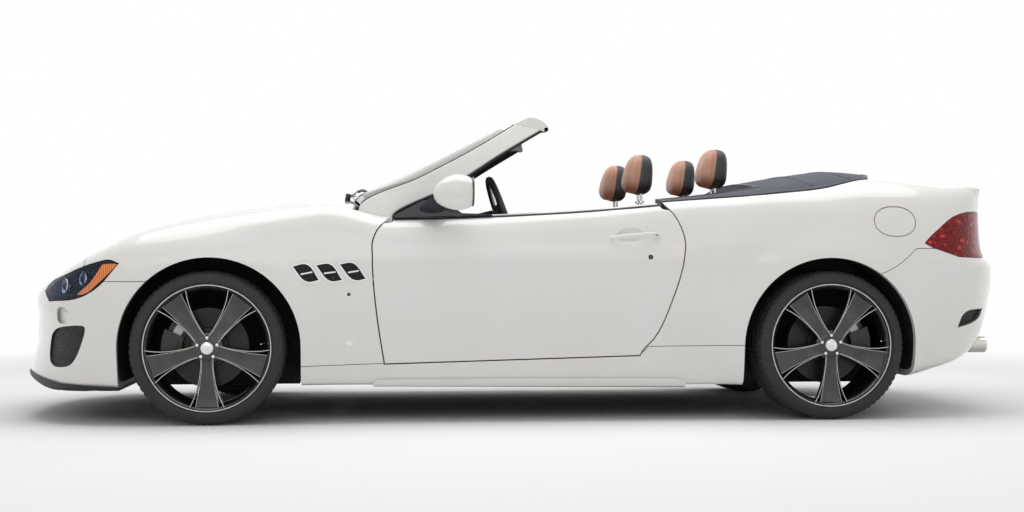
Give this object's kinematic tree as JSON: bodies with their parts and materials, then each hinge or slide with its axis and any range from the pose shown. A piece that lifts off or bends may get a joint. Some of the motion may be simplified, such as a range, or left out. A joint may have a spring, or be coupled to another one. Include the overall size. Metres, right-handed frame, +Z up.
{
  "type": "convertible car",
  "caption": "Open touring car with two doors, seats for four, a folded soft top under a lid, steered front wheels and opening bonnet and boot.",
  "frame": {"origin": "on the ground under the middle of the car", "axes": "nose towards -X, the car's left side towards -Y, +Z up"},
  "size_m": [4.9223, 2.108, 1.482],
  "materials": {
    "body_paint": "gloss",
    "plastic_paint": "gloss",
    "black_trim": "satin",
    "navy_canvas": "matte",
    "glass": "gloss",
    "dark_lens": "gloss",
    "red_lens": "gloss",
    "black_leather": "satin",
    "gunmetal": "satin",
    "tyre_rubber": "matte",
    "cast_metal": "matte",
    "steel": "satin",
    "underbody": "matte"
  },
  "bodies": {
    "chassis": {"front_bumper": "plastic_paint", "grille": "black_trim", "cowl_panel": "black_trim", "rear_bumper": "plastic_paint", "fender_left": "body_paint", "fender_right": "body_paint", "sill_left": "body_paint", "sill_right": "body_paint", "quarter_left": "body_paint", "quarter_right": "body_paint", "headlamp_left": "dark_lens", "headlamp_right": "dark_lens", "taillamp_left": "red_lens", "taillamp_right": "red_lens", "windscreen_frame": "body_paint", "windscreen_glass": "glass", "floor_pan": "underbody", "front_liner_left": "black_trim", "front_liner_right": "black_trim", "rear_liner_left": "black_trim", "rear_liner_right": "black_trim", "dashboard": "black_leather", "centre_console": "black_leather", "front_seat_left": "black_leather", "front_seat_right": "black_leather", "rear_seats": "black_leather", "engine": "cast_metal", "front_subframe": "cast_metal", "rear_axle": "cast_metal", "rear_upright_left": "steel", "rear_upright_right": "steel", "exhaust": "steel"},
    "bonnet": {"bonnet": "body_paint"},
    "boot_lid": {"boot_lid": "plastic_paint"},
    "tonneau_cover": {"tonneau_cover": "navy_canvas"},
    "fuel_flap": {"fuel_flap": "body_paint"},
    "door_left": {"door_left": "body_paint", "mirror_left": "plastic_paint"},
    "door_right": {"door_right": "body_paint", "mirror_right": "plastic_paint"},
    "steering_wheel": {"steering_wheel": "black_leather"},
    "knuckle_left": {"knuckle_left": "steel"},
    "knuckle_right": {"knuckle_right": "steel"},
    "front_wheel_left": {"front_wheel_left": "gunmetal", "front_tyre_left": "tyre_rubber"},
    "front_wheel_right": {"front_wheel_right": "gunmetal", "front_tyre_right": "tyre_rubber"},
    "rear_wheel_left": {"rear_wheel_left": "gunmetal", "rear_tyre_left": "tyre_rubber"},
    "rear_wheel_right": {"rear_wheel_right": "gunmetal", "rear_tyre_right": "tyre_rubber"}
  },
  "joints": [
    {"name": "steer_left", "type": "hinge", "parent": "chassis", "child": "knuckle_left", "pos_m": [-1.52, -0.745, 0.356], "axis": [0, 0, 1], "range_deg": [-30, 30]},
    {"name": "steer_right", "type": "hinge", "parent": "chassis", "child": "knuckle_right", "pos_m": [-1.52, 0.745, 0.356], "axis": [0, 0, 1], "range_deg": [-30, 30]},
    {"name": "steering_wheel_turn", "type": "hinge", "parent": "chassis", "child": "steering_wheel", "pos_m": [-0.11811, -0.3696, 0.998], "axis": [0.9455, 0, 0.3256], "range_deg": [-420, 420]},
    {"name": "front_wheel_left_spin", "type": "hinge", "parent": "knuckle_left", "child": "front_wheel_left", "pos_m": [-1.52, -0.795, 0.356], "axis": [0, 1, 0], "continuous": true},
    {"name": "front_wheel_right_spin", "type": "hinge", "parent": "knuckle_right", "child": "front_wheel_right", "pos_m": [-1.52, 0.795, 0.356], "axis": [0, 1, 0], "continuous": true},
    {"name": "rear_wheel_left_spin", "type": "hinge", "parent": "chassis", "child": "rear_wheel_left", "pos_m": [1.422, -0.785, 0.356], "axis": [0, 1, 0], "continuous": true},
    {"name": "rear_wheel_right_spin", "type": "hinge", "parent": "chassis", "child": "rear_wheel_right", "pos_m": [1.422, 0.785, 0.356], "axis": [0, 1, 0], "continuous": true},
    {"name": "door_left_hinge", "type": "hinge", "parent": "chassis", "child": "door_left", "pos_m": [-0.7617, -0.918, 0.6], "axis": [0, 0, -1], "range_deg": [0, 65]},
    {"name": "door_right_hinge", "type": "hinge", "parent": "chassis", "child": "door_right", "pos_m": [-0.7617, 0.918, 0.6], "axis": [0, 0, 1], "range_deg": [0, 65]},
    {"name": "bonnet_hinge", "type": "hinge", "parent": "chassis", "child": "bonnet", "pos_m": [-0.8435, 0, 1.0735], "axis": [0, 1, 0], "range_deg": [0, 50]},
    {"name": "boot_lid_hinge", "type": "hinge", "parent": "chassis", "child": "boot_lid", "pos_m": [1.8588, 0, 1.2085], "axis": [0, -1, 0], "range_deg": [0, 60]},
    {"name": "tonneau_hinge", "type": "hinge", "parent": "chassis", "child": "tonneau_cover", "pos_m": [1.832, 0, 1.2378], "axis": [0, 1, 0], "range_deg": [0, 50]},
    {"name": "fuel_flap_hinge", "type": "hinge", "parent": "chassis", "child": "fuel_flap", "pos_m": [1.6455, -0.897, 0.95], "axis": [0, 0, -1], "range_deg": [0, 75]}
  ],
  "couplings": [
    {"joint": "steer_right", "follows": "steer_left", "ratio": 1},
    {"joint": "steering_wheel_turn", "follows": "steer_left", "ratio": 14}
  ]
}
